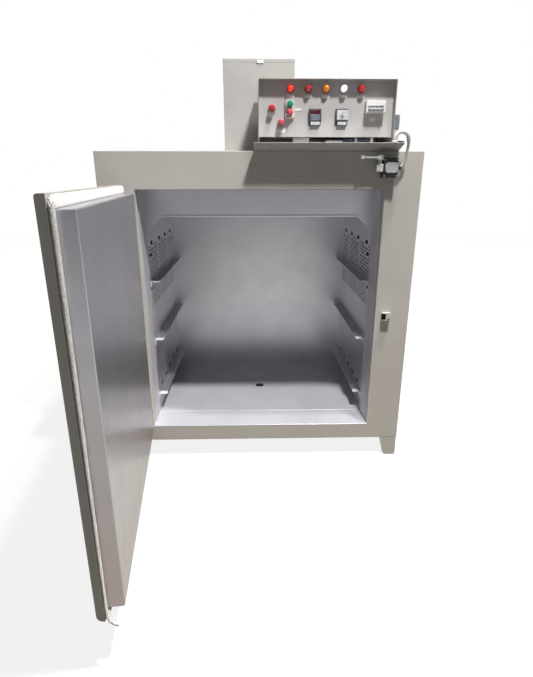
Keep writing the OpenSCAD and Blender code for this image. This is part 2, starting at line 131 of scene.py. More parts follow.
# The floor shows white, and still takes the oven's shadow: its own glow as seen, and as gloss mirrors it
SEEN, MIRRORED = 0.86, 0.56
studio_floor = bpy.data.materials.new("white_studio_floor")
studio_floor.use_nodes = True
tree = studio_floor.node_tree
tree.nodes.clear()
rays = add_node(tree, "ShaderNodeLightPath")
paper = add_node(tree, "ShaderNodeBsdfDiffuse", {"Color": linear("#6f6e6a")})
seen = add_node(tree, "ShaderNodeMath", {0: rays.outputs["Is Camera Ray"], 1: SEEN}, operation="MULTIPLY")
mirrored = add_node(tree, "ShaderNodeMath",
                    {0: rays.outputs["Is Glossy Ray"], 1: MIRRORED}, operation="MULTIPLY")
share = add_node(tree, "ShaderNodeMath", {0: seen.outputs[0], 1: mirrored.outputs[0]}, operation="ADD")
glow = add_node(tree, "ShaderNodeEmission", {"Color": (1, 1, 1, 1), "Strength": share.outputs[0]})
both = add_node(tree, "ShaderNodeAddShader", {0: paper.outputs[0], 1: glow.outputs[0]})
add_node(tree, "ShaderNodeOutputMaterial", {"Surface": both.outputs[0]})
ground = bmesh.new()
bmesh.ops.create_grid(ground, x_segments=1, y_segments=1, size=9)
mesh = bpy.data.meshes.new("studio_floor")
ground.to_mesh(mesh)
ground.free()
mesh.materials.append(studio_floor)
floor = bpy.data.objects.new("studio_floor", mesh)
scene.collection.objects.link(floor)

# --------
# Lead of the limit switch. A white PVC control lead that comes up through the
# tray's front edge, arches over and goes down into the switch's cable entry.

LEAD_D, SLEEVE_D = 11, 15


def per_metre(mm):
    """A texture's scale for a pattern of that real size."""
    return 1000 / mm


def new_finish(name, colour, roughness, metallic=0.0):
    """A material with a principled shader, and the object's own coordinates."""
    material = bpy.data.materials.new(name)
    material.use_nodes = True
    shader = material.node_tree.nodes["Principled BSDF"]
    shader.inputs["Base Color"].default_value = linear(colour)
    shader.inputs["Roughness"].default_value = roughness
    shader.inputs["Metallic"].default_value = metallic
    place = add_node(material.node_tree, "ShaderNodeTexCoord").outputs["Object"]
    return material, material.node_tree, shader, place


def vary(tree, shader, place, colours, size, socket="Base Color", span=(0.35, 0.65)):
    """Runs a socket between two values over a noise of that real size in mm; a colour is also returned."""
    noise = add_node(tree, "ShaderNodeTexNoise",
                     {"Vector": place, "Scale": per_metre(size), "Detail": 3.0, "Roughness": 0.55})
    if socket == "Base Color":
        ramp = add_node(tree, "ShaderNodeValToRGB", {"Fac": noise.outputs["Fac"]})
        for stop, at, colour in zip(ramp.color_ramp.elements, span, colours):
            stop.position = at
            stop.color = linear(colour)
        tree.links.new(ramp.outputs["Color"], shader.inputs[socket])
        return ramp.outputs["Color"]
    spread = add_node(tree, "ShaderNodeMapRange",
                      {"Value": noise.outputs["Fac"], "From Min": span[0], "From Max": span[1],
                       "To Min": colours[0], "To Max": colours[1]})
    tree.links.new(spread.outputs[0], shader.inputs[socket])


def relief(tree, shader, place, size, depth, detail=2.0, texture="ShaderNodeTexNoise", output="Fac"):
    """Bumps a surface by a texture of that real size and depth in mm."""
    grain = add_node(tree, texture, {"Vector": place, "Scale": per_metre(size), "Detail": detail})
    bump = add_node(tree, "ShaderNodeBump",
                    {"Height": grain.outputs[output], "Distance": depth / 1000, "Strength": 1.0})
    tree.links.new(bump.outputs["Normal"], shader.inputs["Normal"])


# Extruded PVC: soft sheen, slightly uneven skin, grubby where it is handled
pvc_sheath, tree, shader, place = new_finish("extruded_white_pvc", "#e9e9e6", 0.42)
vary(tree, shader, place, ("#d9d8d2", "#f0f0ee"), 30)
relief(tree, shader, place, 3, 0.25)

LEAD_ROUTE = [
    (509, -63, 1388), (509, -63, 1402), (512, -63, 1414), (519, -62, 1424), (530, -61, 1429),
    (543, -59, 1429), (555, -56, 1423), (563, -52, 1411), (567, -47, 1396), (568, -41, 1380),
    (568, -35, 1362), (567, -30, 1344), (563, -26, 1326), (556, -23, 1311), (547, -22, 1303),
    (537, -22, 1302),
]
route = [CABINET @ Vector(p) for p in LEAD_ROUTE]


def round_tube(name, points, d):
    """A round tube of that diameter in mm along a smooth line through the points."""
    curve = bpy.data.curves.new(name, "CURVE")
    curve.dimensions = "3D"
    curve.bevel_depth = d / 2000
    curve.bevel_resolution = 6
    curve.resolution_u = 6
    curve.use_fill_caps = True
    line = curve.splines.new("BEZIER")
    line.bezier_points.add(len(points) - 1)
    for knot, point in zip(line.bezier_points, points):
        knot.co = point
        knot.handle_left_type = knot.handle_right_type = "AUTO"
    curve.materials.append(pvc_sheath)
    tube = bpy.data.objects.new(name, curve)
    scene.collection.objects.link(tube)
    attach(tube, "cabinet")
    return tube


lead = round_tube("lead_of_limit_switch", route, LEAD_D)
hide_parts("switch_lead")
# A thick soft sleeve is slipped over its arch
sleeve = round_tube("sleeve_of_lead", route[1:9], SLEEVE_D)

# --------
# Cabinet. A double-skinned box of folded steel sheet packed with mineral wool,
# welded at the corners and powder-coated greige. The mouth is a deep frame,
# and behind it the chamber widens into the air ducts at the sides.

HALF_W, DEPTH, ROOF_Z, FOOT_Z = 648, 1000, 1365, 93
HALF_MOUTH, SILL_Z, HEAD_Z, FRAME_D = 500.5, 167, 1221, 160
SHEET = 2
DUCT_X, DUCT_Z0, DUCT_Z1, DUCT_Y = 548, 163, 1265, 862
SHARP = math.radians(50)


def mix_to_foot(tree, place, clean, foot_colour, high, foot, most):
    """Mixes a second colour into a colour, from none at one height in metres to most of it at the foot."""
    height = add_node(tree, "ShaderNodeSeparateXYZ", {"Vector": place})
    share = add_node(tree, "ShaderNodeMapRange", {"Value": height.outputs["Z"], "From Min": high,
                                                 "From Max": foot, "To Min": 0.0, "To Max": most})
    mixed = add_node(tree, "ShaderNodeMix", {"Factor": share.outputs[0], "A": clean, "B": linear(foot_colour)},
                     data_type="RGBA")
    return mixed.outputs["Result"]


def powder_coat(name, colour, worn, foot_tint, roughness):
    """Baked polyester powder: even colour, low orange peel, smudged by hands, darker and warmer towards the
    floor.
    """
    finish, tree, shader, place = new_finish(name, colour, roughness)
    shader.inputs["Specular IOR Level"].default_value = 0.4
    base = vary(tree, shader, place, (worn, colour), 260, span=(0.3, 0.6))
    footed_colour = mix_to_foot(tree, place, base, foot_tint, 0.95, 0.05, 0.45)
    # Fly specks and small chips, a few millimetres across and sparse
    specks = add_node(tree, "ShaderNodeTexNoise", {"Vector": place, "Scale": per_metre(9), "Detail": 1.0})
    sparse = add_node(tree, "ShaderNodeMapRange", {"Value": specks.outputs["Fac"], "From Min": 0.735,
                                                  "From Max": 0.78, "To Min": 0.0, "To Max": 0.35})
    marked = add_node(tree, "ShaderNodeMix", {"Factor": sparse.outputs[0], "A": footed_colour,
                                              "B": linear("#6f695f")}, data_type="RGBA")
    tree.links.new(marked.outputs["Result"], shader.inputs["Base Color"])
    vary(tree, shader, place, (roughness - 0.07, roughness + 0.08), 120, socket="Roughness")
    # Orange peel is 2 to 3 mm across; drawn at 7 mm so that it shows
    relief(tree, shader, place, 7, 0.18)
    return finish


greige_coat = powder_coat("greige_powder_coat", "#bfbcb8", "#b8b4af", "#b3a89d", 0.46)


def rolled_sheet(name, colours, roughness, low=None, metal=0.85, wave=1.2):
    """Zinc-coated sheet: metal with dull clouds, slow waves, and, given a low colour, a browner cast towards
    its foot.
    """
    finish, tree, shader, place = new_finish(name, colours[1], roughness, metallic=metal)
    clouds = vary(tree, shader, place, colours, 180, span=(0.3, 0.7))
    toward_foot = mix_to_foot(tree, place, clouds, low or colours[0], 1.0, 0.25, 0.85 if low else 0.0)
    tree.links.new(toward_foot, shader.inputs["Base Color"])
    vary(tree, shader, place, (roughness - 0.02, roughness + 0.03), 60, socket="Roughness")
    # Thin sheet is never quite flat: it oil-cans over some 300 mm
    relief(tree, shader, place, 300, wave, 1.0)
    return finish


# A near-black sheet as painted shade: it stands for the dark depths of the air ducts behind the holes, and
# for the dark under the drain
duct_painted_shade = rolled_sheet("near_black_sheet_painted_shade", ("#1c1c1f", "#29292c"), 0.7, metal=0.2)


def make_piece(name, shape, finishes, nodes=(), body="cabinet", place=CABINET):
    """Closes a shape, puts it in the oven's frame and hangs it on its body."""
    bmesh.ops.remove_doubles(shape, verts=shape.verts, dist=0.004)
    bmesh.ops.recalc_face_normals(shape, faces=shape.faces)
    bmesh.ops.transform(shape, matrix=place, verts=shape.verts)
    mesh = bpy.data.meshes.new(name)
    shape.to_mesh(mesh)
    shape.free()
    for finish in finishes:
        mesh.materials.append(finish)
    mesh.shade_smooth()
    mesh.set_sharp_from_angle(angle=SHARP)
    piece = bpy.data.objects.new(name, mesh)
    scene.collection.objects.link(piece)
    flats = piece.modifiers.new("even_flats", "WEIGHTED_NORMAL")
    flats.keep_sharp = True
    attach(piece, body)
    if nodes:
        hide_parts(*nodes)
    return piece


def add_block(shape, low, high, radius=0.0, finish=0, segments=2):
    """Adds a block between two corners, with its edges rounded."""
    before = set(shape.faces)
    low, high = Vector(low), Vector(high)
    place = Matrix.Translation((low + high) / 2) @ Matrix.Diagonal((*(high - low), 1))
    made = bmesh.ops.create_cube(shape, size=1, matrix=place)
    if radius:
        edges = {e for v in made["verts"] for e in v.link_edges}
        bmesh.ops.bevel(shape, geom=list(edges), offset=radius, offset_type="OFFSET", affect="EDGES",
                        segments=segments, profile=0.5, material=-1)
    for face in set(shape.faces) - before:
        face.material_index = finish


def round_edges(shape, radius, where=lambda a, b: True, segments=2):
    """Rounds the sharp edges whose two ends pass the test."""
    edges = [e for e in shape.edges
             if e.calc_face_angle(0) > math.radians(20) and where(e.verts[0].co, e.verts[1].co)]
    bmesh.ops.bevel(shape, geom=edges, offset=radius, offset_type="OFFSET", affect="EDGES",
                    segments=segments, profile=0.5, material=-1)


def sink(shape, face, vector):
    """Pushes a face in along a vector, with walls behind it."""
    made = bmesh.ops.extrude_discrete_faces(shape, faces=[face])["faces"][0]
    bmesh.ops.translate(shape, verts=made.verts, vec=vector)
    return made


def spread_to(face, half_x, z0, z1):
    """Moves the four corners of an upright face to a new width and height."""
    middle = face.calc_center_median().z
    for v in face.verts:
        v.co.x = math.copysign(half_x, v.co.x)
        v.co.z = z0 if v.co.z < middle else z1


shape = bmesh.new()
add_block(shape, (-HALF_W, 0, FOOT_Z), (HALF_W, DEPTH, ROOF_Z))
mouth = min(shape.faces, key=lambda f: f.calc_center_median().y)
bmesh.ops.inset_region(shape, faces=[mouth], thickness=50, use_even_offset=True)
spread_to(mouth, HALF_MOUTH, SILL_Z - SHEET, HEAD_Z)
throat = sink(shape, mouth, (0, FRAME_D, 0))
ledge = sink(shape, throat, (0, 0, 0))
spread_to(ledge, DUCT_X, DUCT_Z0, DUCT_Z1)
sink(shape, ledge, (0, DUCT_Y - FRAME_D, 0))
# The faces inside the ducts take the near-black sheet, as painted shade for their dark depths
for face in shape.faces:
    inner = all(FRAME_D - 1 < v.co.y < DEPTH - 1 for v in face.verts)
    face.material_index = int(inner)
round_edges(shape, 3, lambda a, b: max(abs(a.x), abs(b.x)) > HALF_W - 1 or min(a.z, b.z) > ROOF_Z - 1
            or max(a.z, b.z) < FOOT_Z + 1, segments=3)
round_edges(shape, 2, lambda a, b: max(a.y, b.y) < 1 and max(abs(a.x), abs(b.x)) < HALF_MOUTH + 1)
make_piece("cabinet_shell", shape, [greige_coat, duct_painted_shade],
           ["left_wall", "right_wall", "back_wall", "roof", "base_slab",
            "header", "bottom_rail", "left_stile", "right_stile"])

# --------
# Feet. Four tapered corner feet, each bent from 6 mm plate round the cabinet's
# corner, welded on under it and coated with it.


def traced(*names):
    """The shape of CAD nodes, in mm, with their triangles joined back into flats."""
    shape = bmesh.new()
    for name in names:
        shape.from_mesh(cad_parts[name].data)
    bmesh.ops.transform(shape, matrix=CABINET.inverted(), verts=shape.verts)
    bmesh.ops.remove_doubles(shape, verts=shape.verts, dist=0.01)
    bmesh.ops.dissolve_limit(shape, angle_limit=math.radians(1), verts=shape.verts, edges=shape.edges)
    return shape


def eased(name, nodes, radius, finish, body="cabinet"):
    """Makes one piece of CAD nodes with their sharp edges eased."""
    shape = traced(*nodes)
    round_edges(shape, radius)
    make_piece(name, shape, [finish], nodes, body)


# Radii of the bend at the corner and of the toes; where the toes begin
FOLD_R, TOE_R, TOE_IN = 8, 14, 50
for name in ("front_feet", "rear_feet"):
    shape = traced(name)
    round_edges(shape, FOLD_R, lambda a, b: min(abs(a.x), abs(b.x)) > HALF_W - 1 and abs(a.z - b.z) > 80
                and (max(a.y, b.y) < 1 or min(a.y, b.y) > DEPTH - 1), segments=4)
    round_edges(shape, TOE_R, lambda a, b: max(a.z, b.z) < 1 and (a - b).length < 7
                and (min(abs(a.x), abs(b.x)) < HALF_W - TOE_IN or FRAME_D > max(a.y, b.y) > TOE_IN
                     or FRAME_D > DEPTH - min(a.y, b.y) > TOE_IN), segments=4)
    make_piece(name + "_bent", shape, [greige_coat], [name])

# --------
# Chamber. Zinc-coated sheet: a lining round the mouth, a fascia with corner
# gussets, a ceiling, a floor with a drain, a back, and a sill with a front lip.
# The sheets are folded, spot-welded and slid in from the front.

zinc_sheet = rolled_sheet("zinc_coated_sheet", ("#c8c7cc", "#d0cfd4"), 0.33, metal=0.86)
dull_sheet = rolled_sheet("dulled_zinc_sheet", ("#b9b9c0", "#c3c3ca"), 0.42, metal=0.33)
bright_sill = rolled_sheet("rubbed_zinc_sheet", ("#bdbdc6", "#c8c8d1"), 0.36, metal=0.35)

eased("mouth_lining", ["lining_left", "lining_right", "lining_top"], 0.6, dull_sheet)

shape = traced("fascia")
round_edges(shape, 0.7)
# The lower edge is hemmed, and the gussets are lapped on behind it
HEM_Y, GUSSET, FASCIA_Z = 155.0, 72, 1103
add_block(shape, (-HALF_MOUTH + GUSSET, HEM_Y, FASCIA_Z),
          (HALF_MOUTH - GUSSET, FRAME_D + 1, FASCIA_Z + 9), 2.4, 0, 3)
for side in (-1, 1):
    x0, x1 = sorted((side * (HALF_MOUTH - GUSSET), side * HALF_MOUTH))
    add_block(shape, (x0, FRAME_D - 1.2, FASCIA_Z - 1), (x1, FRAME_D + 0.5, FASCIA_Z + 2), 0.5)
make_piece("fascia_hemmed", shape, [zinc_sheet], ["fascia"])

for name in ("ceiling_panel", "floor_panel"):
    shape = traced(name)
    round_edges(shape, 0.5, lambda a, b: (a - b).length > 60)
    make_piece(name + "_sheet", shape, [dull_sheet], [name])


def add_turned(shape, outline, place, finish=0, steps=24):
    """Spins an outline of (radius, height) points about Z, then puts it in place."""
    before = set(shape.faces)
    corners = [shape.verts.new((radius, 0, height)) for radius, height in outline]
    edges = [shape.edges.new(pair) for pair in zip(corners, corners[1:])]
    bmesh.ops.spin(shape, geom=corners + edges, cent=(0, 0, 0), axis=(0, 0, 1), dvec=(0, 0, 0),
                   angle=2 * math.pi, steps=steps, use_merge=True)
    points = list({v for f in set(shape.faces) - before for v in f.verts})
    bmesh.ops.remove_doubles(shape, verts=points, dist=0.001)
    faces = set(shape.faces) - before
    for face in faces:
        face.material_index = finish
    bmesh.ops.transform(shape, matrix=place, verts=list({v for f in faces for v in f.verts}))


OUT = Matrix.Rotation(math.radians(90), 4, "X")


def add_screw(shape, at, d, finish=0, turn=OUT, tall=0.45):
    """Adds a domed screw head with a round socket, facing out of the front."""
    r, h = d / 2, d * tall
    outline = [(0, h * 0.45), (r * 0.38, h * 0.45), (r * 0.46, h), (r * 0.75, h * 0.92),
               (r * 0.95, h * 0.6), (r, 0), (0, -0.3)]
    add_turned(shape, outline, Matrix.Translation(at) @ turn, finish, 12)


# The back is spot-riveted to the duct frame behind it
RIVETS = [(-85, 742), (168, 832), (160, 636), (70, 545)]
BACK_Y = 860
shape = traced("back_panel")
round_edges(shape, 0.5)
for x, z in RIVETS:
    add_screw(shape, (x, BACK_Y, z), 7, tall=0.3)
make_piece("back_panel_riveted", shape, [zinc_sheet], ["back_panel"])

shape = bmesh.new()
add_block(shape, (-HALF_MOUTH, 0, SILL_Z - SHEET), (HALF_MOUTH, FRAME_D, SILL_Z), 0.5)
# A rolled lip along the front edge, and the welt where the floor laps on
add_block(shape, (-HALF_MOUTH, -0.5, SILL_Z - 5), (HALF_MOUTH, 5, SILL_Z + 0.8), 1.6, 0, 3)
add_block(shape, (-HALF_MOUTH + 1, FRAME_D - 9, SILL_Z - 1),
          (HALF_MOUTH - 1, FRAME_D + 3, SILL_Z + 2), 1.2, 0, 3)
make_piece("sill_with_lip", shape, [bright_sill], ["sill_plate"])

# The drain's strainer is a pressed cup just under the floor, in the near-black sheet that is painted shade
# for the dark drain hole
DRAIN_Y, DRAIN_D = 470, 46
shape = bmesh.new()
RIM_R = DRAIN_D / 2 + 2
add_turned(shape, [(0, -1.6), (RIM_R - 3, -1.6), (RIM_R, -0.4), (RIM_R, -2), (0, -2)],
           Matrix.Translation((0, DRAIN_Y, SILL_Z)), steps=32)
for k in range(5):
    add_block(shape, (-20, DRAIN_Y - 17 + 8 * k, SILL_Z - 1.8), (20, DRAIN_Y - 15 + 8 * k, SILL_Z - 0.6), 0.4)
make_piece("drain_strainer", shape, [duct_painted_shade])

# --------
# Duct panels. Zinc-coated side sheets with finely perforated fields, a row of
# large air holes above and slots at the foot, and three angle runners screwed
# to each that carry the shelves.

THIN, AIR_H, SLOT_Z, SLOT_L, SLOT_H = 0.8, 18, 276, 56, 14
PANEL_Y0, PANEL_Y1, PANEL_TOP = 162, 860, 1265
# Large air holes: distance behind the front face, height and length
AIR_HOLES = [(255, 982, 50), (450, 982, 50), (618, 982, 50), (780, 982, 50), (220, 931, 50), (838, 931, 30),
             (186, 784, 30), (838, 784, 30)]
SLOTS_Y = (272, 394, 516, 638, 760)
# The two fields of fine holes: foot, rows and hole; their front and back, and the plain bands across them
FIELD_LOW, LOW_ROWS, LOW_D = 696, 6, 7.5
FIELD_HIGH, HIGH_ROWS, HIGH_D = 832, 9, 9
FIELD_Y0, FIELD_Y1, HOLE_PITCH = 176, 848, 13
PLAIN_BANDS = (402, 672)


def carved(shape, tools):
    """The shape less its tools."""
    objects = []
    for source in (shape, tools):
        bmesh.ops.recalc_face_normals(source, faces=source.faces)
        mesh = bpy.data.meshes.new("blank")
        source.to_mesh(mesh)
        source.free()
        objects.append(bpy.data.objects.new("blank", mesh))
        scene.collection.objects.link(objects[-1])
    blank, tool = objects
    cut = blank.modifiers.new("cut", "BOOLEAN")
    cut.object, cut.operation, cut.solver = tool, "DIFFERENCE", "MANIFOLD"
    result = bmesh.new()
    result.from_object(blank, bpy.context.evaluated_depsgraph_get())
    for done in objects:
        mesh = done.data
        bpy.data.objects.remove(done)
        bpy.data.meshes.remove(mesh)
    return result


COLUMNS = int((PANEL_Y1 - PANEL_Y0) / HOLE_PITCH)
COLUMN, ROW = (PANEL_Y1 - PANEL_Y0) / COLUMNS, 16
# Heights between the rows: plain sheet below, between and above the two fields
LEVELS = [SILL_Z - SHEET, 230, 420, 560]
LEVELS += [FIELD_LOW + ROW * k for k in range(LOW_ROWS + 1)]
LEVELS += [FIELD_HIGH + ROW * k for k in range(HIGH_ROWS + 1)] + [1020, 1140, PANEL_TOP]


def perforated(x, outward):
    """A sheet in the plane x with rows of fine holes, thickened outward."""
    shape = bmesh.new()
    bmesh.ops.create_grid(shape, x_segments=COLUMNS, y_segments=len(LEVELS) - 1, size=0.5)
    for v in shape.verts:
        column, level = round((v.co.x + 0.5) * COLUMNS), round((v.co.y + 0.5) * (len(LEVELS) - 1))
        v.co = (x, PANEL_Y0 + column * COLUMN, LEVELS[level])
    cells = []
    for face in shape.faces:
        middle = face.calc_center_median()
        row = bisect_right(LEVELS, middle.z) - 1
        low_field = 4 <= row < 4 + LOW_ROWS
        high_field = 5 + LOW_ROWS <= row < 5 + LOW_ROWS + HIGH_ROWS
        if not (low_field or high_field) or not FIELD_Y0 < middle.y < FIELD_Y1:
            continue
        banded = min(abs(middle.y - y) for y in PLAIN_BANDS) < HOLE_PITCH
        # One hole in seven is left blind
        if banded or (round(middle.y / COLUMN) + 3 * row) % 7 == 0:
            continue
        if all(abs(middle.z - z) > 20 or abs(middle.y - y) > length / 2 + 12 for y, z, length in AIR_HOLES):
            cells.append(face)
    bmesh.ops.inset_individual(shape, faces=cells, thickness=0.8, use_even_offset=True)
    for face in cells:
        middle = face.calc_center_median()
        half = (LOW_D if middle.z < FIELD_HIGH else HIGH_D) / 2
        for v in face.verts:
            v.co.y = middle.y + math.copysign(half, v.co.y - middle.y)
            v.co.z = middle.z + math.copysign(half, v.co.z - middle.z)
    corners = list({v for face in cells for v in face.verts})
    bmesh.ops.bevel(shape, geom=corners, offset=LOW_D * 0.29, offset_type="OFFSET", affect="VERTICES",
                    segments=1, profile=0.5, material=-1)
    holes = [f for f in shape.faces if len(f.verts) == 8]
    bmesh.ops.delete(shape, geom=holes, context="FACES_ONLY")
    bmesh.ops.recalc_face_normals(shape, faces=shape.faces)
    if sum(f.normal.x for f in shape.faces) * outward > 0:
        bmesh.ops.reverse_faces(shape, faces=shape.faces)
    bmesh.ops.solidify(shape, geom=shape.faces, thickness=THIN)
    return shape


# Pale matt sheet for the runners' front ends: painted light
lit_end_painted_light = rolled_sheet("runner_end_painted_light", ("#d2d2da", "#e2e2e8"), 0.45, metal=0.1)
LIT_END_Y, RUNNER_ZS, RUNNER_SCREWS_Y = 205, (815, 535, 255), (230, 510, 800)

for side, name in ((-1, "left"), (1, "right")):
    shape = perforated(side * HALF_MOUTH, side)
    tools = bmesh.new()
    cuts = [(*hole, AIR_H) for hole in AIR_HOLES] + [(y, SLOT_Z, SLOT_L, SLOT_H) for y in SLOTS_Y]
    for y, z, length, height in cuts:
        across = Matrix.Translation((side * HALF_MOUTH, y, z)) @ Matrix.Rotation(math.radians(90), 4, "Y")
        tool = bmesh.ops.create_cone(tools, cap_ends=True, segments=24, radius1=height / 2,
                                     radius2=height / 2, depth=12, matrix=across)["verts"]
        # Half of the round tool's points move each way, to draw it out
        for v in tool:
            v.co.y += math.copysign((length - height) / 2, v.co.y - y)
    shape = carved(shape, tools)
    make_piece("duct_panel_" + name, shape, [zinc_sheet], ["side_panel_" + name])

    shape = traced("runners_" + name)
    round_edges(shape, 1.4, lambda a, b: abs(a.y - b.y) > 100)
    # The runners' front ends are pale matt: painted light, where light from the front reaches past the
    # fascia's shadow
    bmesh.ops.bisect_plane(shape, geom=[*shape.verts, *shape.edges, *shape.faces],
                           plane_co=(0, LIT_END_Y, 0), plane_no=(0, 1, 0))
    for face in shape.faces:
        face.material_index = int(face.calc_center_median().y < LIT_END_Y)
    for z in RUNNER_ZS:
        for y in RUNNER_SCREWS_Y:
            add_screw(shape, (side * (HALF_MOUTH - 3), y, z - 15), 7,
                      turn=Matrix.Rotation(math.radians(-90 * side), 4, "Y"), tall=0.3)
    make_piece("shelf_runners_" + name, shape, [zinc_sheet, lit_end_painted_light], ["runners_" + name])

# --------
# Door. A pressed and coated outer pan, an insulated plug of smooth rolled
# sheet folded like a shallow box, and between them a rope gasket of twisted
# glass fibre glued round the rim. It hangs open on two lift-off hinges.

HINGE = Vector((-545, -17, 0))
SWING = math.radians(-83.7)
DOOR = CABINET @ Matrix.Translation(HINGE) @ Matrix.Rotation(SWING, 4, "Z") @ Matrix.Translation(-HINGE)
PAN_X0, PAN_X1, PAN_Z0, PAN_Z1 = -524, 510, 157.5, 1239.5
PLUG_X, PLUG_Z0, PLUG_Z1 = 488, 179.5, 1208.5
RIM_Y, PAN_Y, PLUG_Y = -17, -39, 33

shape = bmesh.new()
add_block(shape, (PAN_X0, PAN_Y, PAN_Z0), (PAN_X1, RIM_Y, PAN_Z1))
low, high = PAN_Z0 + 1, PAN_Z1 - 1
# The press rounds the pan's outer edges, most at its foot
round_edges(shape, 19, lambda a, b: max(a.z, b.z) < low and max(a.y, b.y) < PAN_Y + 1, segments=6)
round_edges(shape, 7, lambda a, b: min(a.z, b.z) > high and max(a.y, b.y) < PAN_Y + 1, segments=4)
round_edges(shape, 0.5, lambda a, b: min(a.y, b.y) > RIM_Y - 1)
make_piece("door_pan_pressed", shape, [greige_coat], ["door_pan"], body="door", place=DOOR)

door_sheet = rolled_sheet("bright_rolled_sheet", ("#cacacf", "#d2d2d7"), 0.3, "#a89c95", 0.9, 0.8)
shape = bmesh.new()
add_block(shape, (-PLUG_X, RIM_Y, PLUG_Z0), (PLUG_X, PLUG_Y, PLUG_Z1), 3.5, 0, 3)
# The folded edge that the rope lies against is a darker copy of the face's sheet: painted shade on the side
# turned from the light
plug_edge_painted_shade = rolled_sheet("folded_edge_painted_shade", ("#adadb2", "#b5b5bb"), 0.3, "#aca099", 0.9, 0.8)
for face in shape.faces:
    face.material_index = int(face.calc_center_median().x > PLUG_X - 1)
make_piece("door_plug_folded", shape, [door_sheet, plug_edge_painted_shade], ["door_plug"],
           body="door", place=DOOR)

# Twisted glass-fibre rope: matt white fluff between fine dark furrows
fibre_rope, tree, shader, place = new_finish("glass_fibre_rope", "#f2eeec", 0.95)
# Light soaks through the loose white fibre, so its shaded side stays bright
shader.inputs["Subsurface Weight"].default_value = 0.9
shader.inputs["Subsurface Radius"].default_value = (1, 1, 1)
shader.inputs["Subsurface Scale"].default_value = 0.012
# Its loose ends catch light that only grazes the rope
shader.inputs["Sheen Weight"].default_value = 0.6
shader.inputs["Sheen Roughness"].default_value = 0.6
vary(tree, shader, place, ("#d5d0cc", "#eae7e4"), 9, span=(0.35, 0.6))
# The fibres are 0.01 mm; drawn as 2.5 mm tufts so that they show
relief(tree, shader, place, 2.5, 2.2, 3.0)

STRANDS, LAY_PITCH, ROPE_STEP = 6, 36, 1.8
ROPE_Y, ROPE_T = -11.2, 6.4
# Half widths of the rope on the free side, top, hinge side and foot
FREE_W, TOP_W, HINGE_W, FOOT_W = 11.4, 14.0, 16.4, 9.6
ROPE_X0, ROPE_X1 = -PLUG_X - HINGE_W - 0.3, PLUG_X + FREE_W + 0.2
ROPE_Z0, ROPE_Z1 = PLUG_Z0 - FOOT_W - 0.2, PLUG_Z1 + TOP_W + 0.2
BEND = 9
# The rope starts at the free lower corner, runs round, and ends there; its loose tail is made apart
rope_line = [(Vector((PLUG_X + w + 0.2, y, z)), w)
             for z, w, y in ((ROPE_Z0 - 8, 10.2, -14), (ROPE_Z0 + 30, 10.4, -13.8), (480, 10.8, -13.2),
                             (760, 11.2, -12.2), (1000, FREE_W, -11.4), (ROPE_Z1 - 60, FREE_W, ROPE_Y))]
turns = [(ROPE_X1 - BEND, ROPE_Z1 - BEND, 0, FREE_W, TOP_W),
         (ROPE_X0 + BEND, ROPE_Z1 - BEND, 90, TOP_W, HINGE_W),
         (ROPE_X0 + BEND, ROPE_Z0 + BEND, 180, HINGE_W, FOOT_W)]
for x, z, start, w0, w1 in turns:
    for k in range(7):
        a = math.radians(start + 15 * k)
        corner = Vector((x + BEND * math.cos(a), ROPE_Y, z + BEND * math.sin(a)))
        rope_line.append((corner, w0 + (w1 - w0) * k / 6))
# Along the foot to the corner, and out of it as the tail: across, inward, up, half width
rope_line += [(Vector((x, ROPE_Y + y, ROPE_Z0 + z)), w) for x, y, z, w in (
    (430, 0, 0, FOOT_W), (470, 0, -1, FOOT_W), (492, 0, -3, FOOT_W * 0.8), (500, 1, -8, 5.5))]
tail_line = [(Vector((x, ROPE_Y + y, ROPE_Z0 + z)), w) for x, y, z, w in (
    (494, 0, -4, 5.5), (501, 1, -9, 5.2), (506, 6, -18, 4.2), (508, 16, -26, 3.2), (508, 26, -33, 2))]

# How far each point round a strand stands out, from the furrow on
FLUTE = (0.72, 0.95, 1.0, 0.95)
# The rope's section is pressed a little towards a square
SQUARE = 0.95
AROUND = STRANDS * len(FLUTE)


def twisted_rope(line):
    """A strip rolled up into a fluted tube along (point, half width) pairs, twisting as it goes."""
    reach = [0.0]
    for (a, _), (b, _) in zip(line, line[1:]):
        reach.append(reach[-1] + (b - a).length)
    shape = bmesh.new()
    bmesh.ops.create_grid(shape, x_segments=AROUND, y_segments=int(reach[-1] / ROPE_STEP), size=0.5)
    for v in shape.verts:
        k, s = round((v.co.x + 0.5) * AROUND), (v.co.y + 0.5) * reach[-1]
        turn = 2 * math.pi * (k / AROUND + s / LAY_PITCH)
        side, face, flute = math.cos(turn), math.sin(turn), FLUTE[k % len(FLUTE)]
        v.co = (flute * math.copysign(abs(side) ** SQUARE, side),
                flute * math.copysign(abs(face) ** SQUARE, face), s)
    bmesh.ops.remove_doubles(shape, verts=shape.verts, dist=0.001)
    bmesh.ops.holes_fill(shape, edges=[e for e in shape.edges if e.is_boundary], sides=0)
    for v in shape.verts:
        s = min(max(v.co.z, 0.0), reach[-1] - 0.001)
        i = min(bisect_right(reach, s) - 1, len(line) - 2)
        (a, wa), (b, wb) = line[i], line[i + 1]
        t = (s - reach[i]) / (reach[i + 1] - reach[i])
        before, after = line[max(i - 1, 0)][0], line[min(i + 2, len(line) - 1)][0]
        along = ((b - before).lerp(after - a, t)).normalized()
        across = along.cross(Vector((0, 1, 0))).normalized()
        width = wa + (wb - wa) * t
        # Where it is pressed flatter, its middle lies nearer the rim
        thick = min(ROPE_T * min(1.0, 0.5 + width / 20), a.lerp(b, t).y - RIM_Y + 0.6)
        v.co = a.lerp(b, t) + across * (v.co.x * width) + across.cross(along) * (v.co.y * thick)
    return shape


